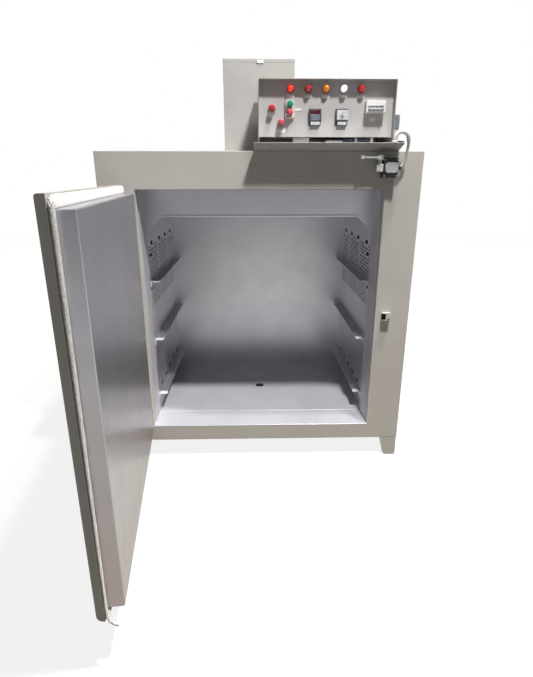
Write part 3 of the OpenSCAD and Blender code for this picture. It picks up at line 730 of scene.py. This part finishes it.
make_piece("rope_gasket", twisted_rope(rope_line), [fibre_rope], ["door_gasket"],
           body="door", place=DOOR)
tail = make_piece("rope_tail", twisted_rope(tail_line), [fibre_rope], body="door", place=DOOR)
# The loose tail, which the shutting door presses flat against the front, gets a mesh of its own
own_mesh(tail)

# --------
# Hinges. Two lift-off weld-on hinges: plates and straps of flat bar, turned
# knuckles and a steel pin. The plates are bolted to the left stile.

HINGE_ZS, PLATE_X, BOLTS_UP = (317, 1017), -591, (-48, -12)

# Bright zinc plate over steel: smooth, bluish, dulled by handling
zinc_plate, tree, shader, place = new_finish("bright_zinc_plate", "#bcbec2", 0.28, metallic=1.0)
vary(tree, shader, place, ("#9fa1a6", "#c9cbcf"), 12)
vary(tree, shader, place, (0.22, 0.4), 25, socket="Roughness")
relief(tree, shader, place, 1.2, 0.03, 3.0)

shape = traced("hinge_frame_leaves")
round_edges(shape, 0.9)
for z in HINGE_ZS:
    for up in BOLTS_UP:
        add_screw(shape, (PLATE_X + 4, -4, z + up), 11, 1)
make_piece("hinge_plates", shape, [greige_coat, zinc_plate], ["hinge_frame_leaves"])

eased("hinge_straps", ["hinge_door_leaves"], 0.9, greige_coat, "door")

# --------
# Latch keeper. A small hooked strike of 4 mm steel, welded to the right stile
# and coated with it; the inside of its pocket is dark steel, as painted shade.

# Dark steel: painted shade inside the keeper's pocket; its screw takes the same steel
pocket_shade_steel, tree, shader, place = new_finish("dark_steel_pocket_shade", "#3a322c", 0.45, metallic=0.7)
vary(tree, shader, place, ("#241e1a", "#4a4038"), 6)
vary(tree, shader, place, (0.35, 0.6), 5, socket="Roughness")
shape = traced("latch_keeper")
x0, x1, y0 = [f(v.co[k] for v in shape.verts) for f, k in ((min, 0), (max, 0), (min, 1))]
# The pocket's heights, and the depth of the plate that is its bottom
POCKET_Z0, POCKET_Z1, KEEPER_T, KEEPER_SCREW = 680, 710, 4, (555, -20, 684)
for face in shape.faces:
    x, y, z = face.calc_center_median()
    walls = x0 + 1 < x < x1 - 1 and y0 + 1 < y < -1
    face.material_index = int(POCKET_Z0 < z < POCKET_Z1 and (walls or abs(y + KEEPER_T) < 0.5))
round_edges(shape, 0.8)
add_screw(shape, KEEPER_SCREW, 7, 1)
make_piece("keeper_hooked", shape, [greige_coat, pocket_shade_steel], ["latch_keeper"])

# --------
# Limit switch. A black moulded body with a bare grey cover plate held by four
# screws, a die-cast zinc head on its left with the lever's shaft, and a flat
# lever that ends in a small roller. It is screwed to the header.


def moulded(name, colours, roughness, size=18, peel=0.05):
    """Injection-moulded plastic: even colour, light moulding texture, a soft sheen."""
    finish, tree, shader, place = new_finish(name, colours[1], roughness)
    vary(tree, shader, place, colours, size, span=(0.3, 0.6))
    vary(tree, shader, place, (roughness - 0.05, roughness + 0.08), 30, socket="Roughness")
    # Spark texture is 0.1 mm; drawn at 0.8 mm so that it shows
    relief(tree, shader, place, 0.8, peel)
    return finish


black_shell = moulded("black_phenolic", ("#1b1b1e", "#26262a"), 0.42)
grey_cover = moulded("grey_lacquered_plate", ("#aab0b8", "#bcc1c8"), 0.38)
BODY = (478, 537, -42, 1266, 1338)
x0, x1, y0, z0, z1 = BODY
shape = bmesh.new()
add_block(shape, (x0, y0 + 2, z0), (x1, 0, z1), 2.5, 0, 3)
# The cover plate has its corners cut off, and a sunk oval in its middle
plate = bmesh.new()
add_block(plate, (x0 + 8, y0 - 1.5, z0 + 18), (x1, y0 + 3, z1 - 16))
round_edges(plate, 8, lambda a, b: abs(a.y - b.y) > 1, segments=1)
front = min(plate.faces, key=lambda f: f.calc_center_median().y)
bmesh.ops.inset_region(plate, faces=[front], thickness=5, use_even_offset=True)
sink(plate, front, (0, 0.8, 0))
round_edges(plate, 0.4)
make_piece("limit_switch_plate", plate, [grey_cover])
for x in (x0 + 6, x1 - 6):
    for z in (z0 + 6, z1 - 6):
        add_screw(shape, (x, y0 + 2, z), 6.5, 1)
# The cable entry's nut, on the right
add_turned(shape, [(0, -2), (9.5, -2), (9.5, 5), (8.6, 6), (8.6, 10), (6.4, 16), (5.2, 16), (5.2, 4), (0, 4)],
           Matrix.Translation((x1, -22, 1302)) @ Matrix.Rotation(math.radians(90), 4, "Y"))
make_piece("limit_switch_body", shape, [black_shell, zinc_plate], ["switch_body"])

# Pale die-cast zinc: matt, faintly pitted
die_cast, tree, shader, place = new_finish("pale_die_cast_zinc", "#d9d9da", 0.45, metallic=0.35)
vary(tree, shader, place, ("#c9c9cb", "#e2e2e3"), 10)
relief(tree, shader, place, 1.5, 0.08)
# The head is an upper box, a neck and a lower box
shape = bmesh.new()
add_block(shape, (452, -42, 1331), (478, -8, 1350), 1.8, 0, 3)
add_block(shape, (462, -38, 1312), (471, -10, 1334), 1.0)
add_block(shape, (453, -41, 1288), (478.5, -7, 1316), 1.8, 0, 3)
add_screw(shape, (458, -41, 1295), 5)
add_screw(shape, (458, -41, 1309), 5)
# The lever's shaft
add_turned(shape, [(0, 0), (4, 0), (4, 10), (3.2, 11), (0, 11)],
           Matrix.Translation((460, -42, 1340)) @ OUT, steps=16)
make_piece("limit_switch_head", shape, [die_cast], ["switch_head"])

eased("limit_switch_lever", ["switch_lever"], 0.6, die_cast, "lever")

# The lead comes up through a collar in the tray, and a black rubber bung closes
# the spare hole beside it
shape = bmesh.new()
add_turned(shape, [(5.4, 0), (11, 0), (11.4, 2), (10.4, 5), (8.6, 8), (5.6, 8), (5.4, 6), (5.4, 0)],
           Matrix.Translation((509, -63, 1391)))
add_turned(shape, [(0, -2), (15, -2), (16, 0), (16, 9), (14, 12), (9, 12.5), (7, 9), (0, 8.5)],
           Matrix.Translation((535, -44, 1386)), 1, 28)
make_piece("lead_collar_and_bung", shape, [pvc_sheath, black_shell])

# --------
# Control box. A tray of coated sheet screwed to the roof, with its front edge
# turned up over the header, and on it a box with cheeks, a hood and a nearly
# upright instrument panel with a slot left open under it.

PANEL_LEAN = 4
BOX_X0, BOX_X1, TRAY_TOP, PANEL_FOOT = -6, 512, 1368, (-6, -8, 1414)
TRAY_SCREWS_X = (40, 387)
PANEL = CABINET @ Matrix.Translation(PANEL_FOOT) @ Matrix.Rotation(math.radians(-PANEL_LEAN), 4, "X")

shape = traced("control_tray")
round_edges(shape, 1.2)
# Two screws in the underside of its front edge
for x in TRAY_SCREWS_X:
    add_screw(shape, (x, -40, 1377), 8, 1, turn=Matrix.Rotation(math.radians(180), 4, "X"), tall=0.35)
make_piece("control_tray_folded", shape, [greige_coat, zinc_plate], ["control_tray"])

eased("control_box_sheet", ["control_housing"], 0.7, greige_coat)

panel_coat = powder_coat("pale_panel_coat", "#cac8c9", "#c1bfbf", "#bab7b5", 0.4)
eased("control_panel_sheet", ["control_panel"], 0.5, panel_coat)

# --------
# Pilot lamps. Five 28 mm lamps in the top row: a black moulded bezel and a
# domed acrylic lens, dimpled inside. The first and the fourth are lit.

LAMP_X, LAMP_STEP, LAMP_UP = 121, 67, 167.5


def on_panel(across, up):
    """A place on the panel, with Z standing out of it."""
    return Matrix.Translation((across, 0, up)) @ OUT


bezel = moulded("black_bezel", ("#202022", "#2c2c2f"), 0.35)
# Each lens: finish, colour, glow and its strength, slot
LENSES = [("red_lit", "#f02818", "#ff2a10", 0.55, "red_lamp"),
          ("crimson", "#c42838", "#c42030", 0.12, "red_lamp"),
          ("amber", "#e8880c", "#ff8800", 0.2, None), ("white_lit", "#f4f6ff", "#f2f6ff", 0.8, None),
          ("red_end", "#cc2020", "#ff2010", 0.12, "red_lamp")]
for k, (name, colour, glow, power, slot) in enumerate(LENSES):
    at = on_panel(LAMP_X + k * LAMP_STEP, LAMP_UP)
    shape = bmesh.new()
    add_turned(shape, [(0, 0), (14, 0), (14, 4), (13.2, 5.5), (12.6, 5.8), (12.2, 4.5), (0, 4.5)], at, 0, 40)
    make_piece("lamp_bezel_%d" % (k + 1), shape, [bezel],
               ["pilot_lamps"] if k == 0 else [], place=PANEL)
    # Clear acrylic over a coloured filter: deep colour, sharp highlights, bright core. The core's glow is
    # real in the two lit lamps, and painted light in the three unlit ones
    lens, tree, shader, place = new_finish("acrylic_lens_" + name, colour, 0.12)
    shader.inputs["Coat Weight"].default_value = 0.6
    shader.inputs["Coat Roughness"].default_value = 0.05
    shader.inputs["Emission Color"].default_value = linear(glow)
    shader.inputs["Emission Strength"].default_value = power
    relief(tree, shader, place, 2.2, 0.15, 0.0, "ShaderNodeTexVoronoi", "Distance")
    shape = bmesh.new()
    add_turned(shape, [(0, 4), (12, 4), (12, 17), (11.6, 19.5), (10.4, 22.5), (8.2, 25), (5.2, 26.8),
                       (2.2, 27.6), (0, 27.7)], at, 0, 40)
    make_piece("lamp_lens_%d" % (k + 1), shape, [lens], place=PANEL)

# --------
# Plates. Bare engraving plates of pale laminate, riveted under the lamps and
# beside the buttons, and left blank.

plate_stock = moulded("pale_laminate", ("#eceae8", "#f6f5f4"), 0.4)
# Each plate: its middle across and up the panel, its width and height
PLATES = [(LAMP_X + k * LAMP_STEP, 142.5, 30, 11) for k in range(5)]
PLATES += [(45, 78, 27, 18), (86, 22, 31, 14), (152, 96, 27, 10), (438, 62, 24, 12)]
shape = bmesh.new()
for across, up, w, h in PLATES:
    add_block(shape, (across - w / 2, -1.4, up - h / 2), (across + w / 2, 0.2, up + h / 2), 0.4)
    for dx in (-w / 2 + 2.2, w / 2 - 2.2):
        add_screw(shape, (across + dx, -1.3, up), 1.8)
make_piece("blank_plates", shape, [plate_stock], place=PANEL)

# --------
# Push buttons. Two single buttons in round grey collars, and a double button
# of a green over a red cap in one pale body with rounded corners.

BUTTONS = {"left": (51, 100), "start": (119, 113), "stop": (119, 85), "low": (87, 50)}
BORE, COLLAR_R = 11.5, 14
# The double button's body: its middle, half width and half height, and how far it stands out
DOUBLE_X, DOUBLE_Z, DOUBLE_W, DOUBLE_H, DOUBLE_OUT = 119, 99, 17, 34, 11
grey_body = moulded("grey_button_body", ("#8d9096", "#a3a6ab"), 0.4)
shape = bmesh.new()
for name in ("left", "low"):
    add_turned(shape, [(BORE, 0), (COLLAR_R, 0), (COLLAR_R, 9), (13.2, 11.4), (12.4, 12), (BORE, 11.2),
                       (BORE, 0)], on_panel(*BUTTONS[name]), 0, 36)
make_piece("button_rings", shape, [grey_body], ["button_collars"], place=PANEL)
shape = bmesh.new()
add_block(shape, (DOUBLE_X - DOUBLE_W, -DOUBLE_OUT, DOUBLE_Z - DOUBLE_H),
          (DOUBLE_X + DOUBLE_W, 0, DOUBLE_Z + DOUBLE_H))
round_edges(shape, 8, lambda a, b: abs(a.y - b.y) > 5, segments=4)
round_edges(shape, 1.2, lambda a, b: max(a.y, b.y) < 1 - DOUBLE_OUT)
tools = bmesh.new()
for name in ("start", "stop"):
    bmesh.ops.create_cone(tools, cap_ends=True, segments=36, radius1=BORE, radius2=BORE, depth=40,
                          matrix=on_panel(*BUTTONS[name]))
shape = carved(shape, tools)
pale_body = moulded("pale_button_body", ("#cfccca", "#dddad8"), 0.4)
make_piece("double_button_body", shape, [pale_body], place=PANEL)

red_cap = moulded("red_urea_cap", ("#c01c30", "#d02a3c"), 0.3)
pink_cap = moulded("faded_red_cap", ("#cf3c55", "#e05a70"), 0.3)
green_cap = moulded("green_urea_cap", ("#14866a", "#1f9a7c"), 0.28)
CAPS = {"left": (red_cap, "red_button"), "start": (green_cap, "green_button"),
        "stop": (pink_cap, "red_button"), "low": (pink_cap, "red_button")}
for name, (finish, slot) in CAPS.items():
    shape = bmesh.new()
    add_turned(shape, [(0, 5), (11, 5), (11, 22), (10.7, 24.6), (9.6, 26.6), (7.4, 27.7), (4, 28), (0, 27.6)],
               on_panel(*BUTTONS[name]), 0, 36)
    make_piece("button_cap_" + name, shape, [finish], ["button_" + name],
               body="button_" + name, place=PANEL)

# --------
# Controllers. A temperature controller and a timer in flush cases: a raised
# dark bezel, a window or a dial, and a pale key block below.

case_grey = moulded("blue_grey_case", ("#44474f", "#54575f"), 0.4)
case_light = moulded("pale_face", ("#c6c8cc", "#d8dadd"), 0.38)
window = moulded("dark_red_window", ("#3a1216", "#5a1a20"), 0.18)
CASES = [(216, 70), (318, 70)]
shape = bmesh.new()
for across, up in CASES:
    # The case behind the panel, and the bezel's upper part
    add_block(shape, (across - 22.2, 0, up - 27.2), (across + 22.2, 50, up + 27.2), 1.0)
    add_block(shape, (across - 24, -11, up - 16), (across + 24, 0, up + 29), 1.6, 0, 3)
    add_block(shape, (across - 18, -9, up - 29), (across + 18, 0, up - 15), 1.2)
# The temperature controller's dark window, slate face and keys
across, up = CASES[0]
add_block(shape, (across - 19, -11.8, up + 11), (across + 18, -10, up + 24), 0.6, 2)
add_block(shape, (across - 17, -11.6, up - 12), (across + 17, -10, up + 8), 0.6, 3)
add_block(shape, (across - 17, -10, up - 28), (across + 18, -8, up - 17), 0.8, 1)
# The timer's face and keys, its knob with a pointer, and twelve plain marks round it
across, up = CASES[1]
add_block(shape, (across - 19, -12, up - 10), (across + 23.5, -10, up + 24), 0.8, 1)
add_block(shape, (across - 16, -10, up - 28), (across + 18, -8, up - 17), 0.8, 1)
add_turned(shape, [(0, 11), (9.5, 11), (9.5, 12.6), (5, 13), (4.6, 15), (0, 15.2)],
           on_panel(across + 2, up + 7), 1, 28)
add_block(shape, (across + 1.2, -15.8, up + 3), (across + 2.8, -14, up + 15), 0.3, 0)
for k in range(12):
    tick = Matrix.Translation((across + 2, 0, up + 7)) @ Matrix.Rotation(math.radians(30 * k), 4, "Y")
    before = set(shape.verts)
    add_block(shape, (-0.35, -12.3, 11), (0.35, -11.5, 13))
    bmesh.ops.transform(shape, matrix=tick, verts=list(set(shape.verts) - before))
face_blue = moulded("slate_face", ("#6d7380", "#7d8390"), 0.35)
make_piece("controller_and_timer", shape, [case_grey, case_light, window, face_blue],
           ["controllers"], place=PANEL)

# --------
# Circuit breaker. A white four-pole breaker through a cutout in the panel, its
# poles divided by fine joints, with four tied toggles in a pocket at its foot.

# The breaker's middle on the panel, and its poles' pitch; the joints' half width and depths
BREAKER_X, BREAKER_UP, POLE, JOINT, JOINT_Y0, JOINT_Y1 = 443, 104, 18, 0.35, -28.15, -27
white_case = moulded("white_breaker_case", ("#e6e6e6", "#f2f2f2"), 0.42)
toggle_grey = moulded("lavender_grey_toggle", ("#d2d3df", "#e0e1ea"), 0.35)
shape = traced("breaker_body")
round_edges(shape, 0.9)
bmesh.ops.transform(shape, matrix=PANEL.inverted() @ CABINET, verts=shape.verts)
for k in range(-1, 2):
    x = BREAKER_X + k * POLE
    add_block(shape, (x - JOINT, JOINT_Y0, BREAKER_UP + 3), (x + JOINT, JOINT_Y1, BREAKER_UP + 19.5), 0.0, 1)
make_piece("breaker_case", shape, [white_case, case_light], ["breaker_body"], place=PANEL)

eased("breaker_toggle_bar", ["breaker_toggles"], 0.6, toggle_grey, "toggles")

# --------
# Terminals. Contactors, terminal blocks and relays on a rail on the tray, seen
# through the slot under the panel, with their clamp screws to the front.

GEAR_Y0, GEAR_Y1, RAIL_Z, SCREW_PITCH = 24, 56, 1374, 9
navy_case = moulded("navy_relay_case", ("#1c2233", "#2a3248"), 0.35)
# Across, width, height, and which finish of the call below
GEAR = [(136, 64, 40, 4), (204, 34, 26, 4), (204, 13, 36, 0), (222, 13, 36, 0), (264, 66, 30, 4),
        (332, 44, 38, 2), (378, 12, 38, 1), (392, 46, 38, 2), (440, 13, 40, 4)]
shape = bmesh.new()
add_block(shape, (BOX_X0 + 20, GEAR_Y0 - 4, TRAY_TOP), (BOX_X1 - 20, GEAR_Y1 + 4, RAIL_Z), 0.6, 3)
for across, w, h, finish in GEAR:
    x = BOX_X0 + across
    add_block(shape, (x, GEAR_Y0, RAIL_Z), (x + w, GEAR_Y1, RAIL_Z + h), 0.8, finish)
    for k in range(int(w / SCREW_PITCH)):
        add_screw(shape, (x + 5 + SCREW_PITCH * k, GEAR_Y0, RAIL_Z + h - 6), 4, 3, tall=0.25)
make_piece("terminal_blocks", shape,
           [black_shell, case_light, navy_case, zinc_plate, white_case], ["terminal_gear"])

# --------
# Conduit. A ribbed grey conduit end clamped to the box's right cheek, with a
# white sleeve over the wires down to the tray.

GLAND_X, GLAND_Y, GLAND_Z0, GLAND_Z1 = 528, 12, 1448, 1495
RIB, GLAND_R, SLEEVE_R, SLEEVE_Y = 4.7, 14, 13, 14
conduit_grey = moulded("blue_grey_conduit", ("#8f959e", "#a6acb4"), 0.42)
shape = bmesh.new()
outline, root, tall = [(0, 0)], GLAND_R - 2, GLAND_Z1 - GLAND_Z0
for k in range(int(tall / RIB)):
    outline += [(root, k * RIB), (GLAND_R, k * RIB + 1), (GLAND_R, k * RIB + 3), (root, k * RIB + 4)]
outline += [(root, tall), (0, tall)]
add_turned(shape, outline, Matrix.Translation((GLAND_X, GLAND_Y, GLAND_Z0)), 0, 28)
add_block(shape, (512, 4, 1462), (526, 20, 1481), 1.2)
make_piece("conduit_end", shape, [conduit_grey], ["lead_gland"])

shape = bmesh.new()
tall = GLAND_Z0 - TRAY_TOP
outline = [(0, 0), (SLEEVE_R - 1, 0)] + [(SLEEVE_R - 0.8 * (k % 2), 2 + 4 * k) for k in range(19)]
outline += [(SLEEVE_R - 1, tall), (0, tall)]
add_turned(shape, outline, Matrix.Translation((GLAND_X, SLEEVE_Y, TRAY_TOP)), 0, 28)
make_piece("wire_sleeve", shape, [pvc_sheath], ["gland_sleeve"])

# --------
# Blower housing. A tall sheet box behind the control box that covers the fan's
# motor, with a folded lid, and a small white tab at the top of its front.

HOUSE_X, HOUSE_Y0, HOUSE_Y1, HOUSE_Z1, LID = 150, 250, 550, 1731, 15
housing_coat = powder_coat("pale_housing_coat", "#b9b8b7", "#b0aead", "#aca9a6", 0.45)
shape = bmesh.new()
add_block(shape, (-HOUSE_X + 0.5, HOUSE_Y0 + 0.5, ROOF_Z),
          (HOUSE_X - 0.5, HOUSE_Y1 - 0.5, HOUSE_Z1 - 3), 2.0, 0, 3)
add_block(shape, (-HOUSE_X, HOUSE_Y0, HOUSE_Z1 - LID), (HOUSE_X, HOUSE_Y1, HOUSE_Z1), 2.0, 0, 3)
make_piece("blower_housing_lidded", shape, [housing_coat], ["blower_housing"])

white_tab = moulded("white_tab_plastic", ("#e8e8e6", "#f4f4f2"), 0.4)
eased("blower_tab", ["housing_tab"], 0.8, white_tab)
